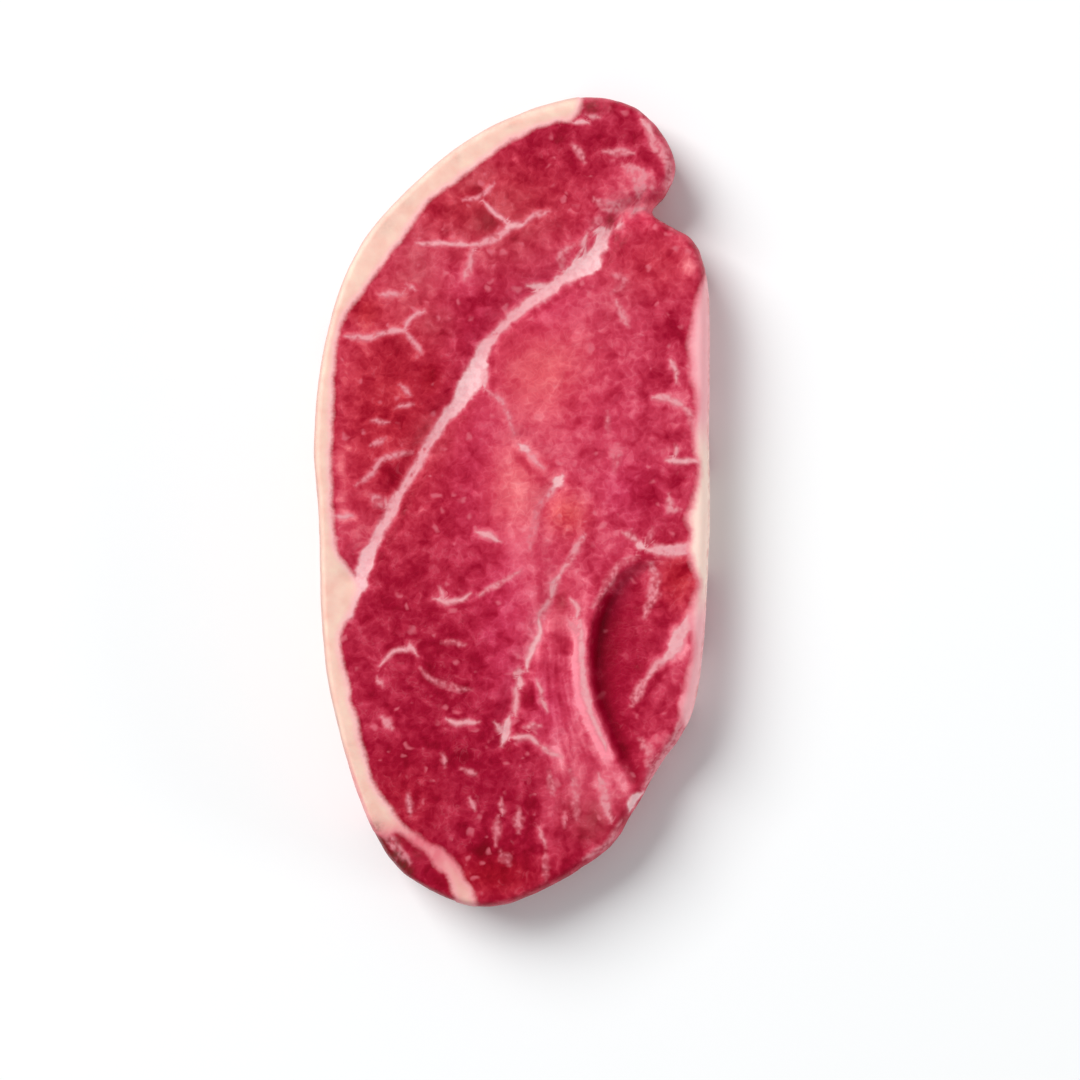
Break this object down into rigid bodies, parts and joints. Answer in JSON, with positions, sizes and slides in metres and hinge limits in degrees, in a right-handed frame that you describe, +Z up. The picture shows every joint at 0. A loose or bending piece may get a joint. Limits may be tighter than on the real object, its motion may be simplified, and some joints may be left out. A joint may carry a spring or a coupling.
{
  "type": "raw beef rump steak",
  "caption": "Flat raw rump steak slice with a fat rim along one side, a notch near one end, pale seams between its muscles and a sunk dark muscle on its inner side.",
  "frame": {"origin": "under the middle of the slice, on the flat cut face that it rests on", "axes": "+Z up out of the upper cut face; +Y along the slice's length, to the end with the notch; +X across it, away from the thick fat rim"},
  "size_m": [0.1028, 0.2102, 0.0212],
  "materials": {
    "raw_beef": "satin"
  },
  "bodies": {
    "root": {"rump_steak": "raw_beef"}
  },
  "joints": []
}
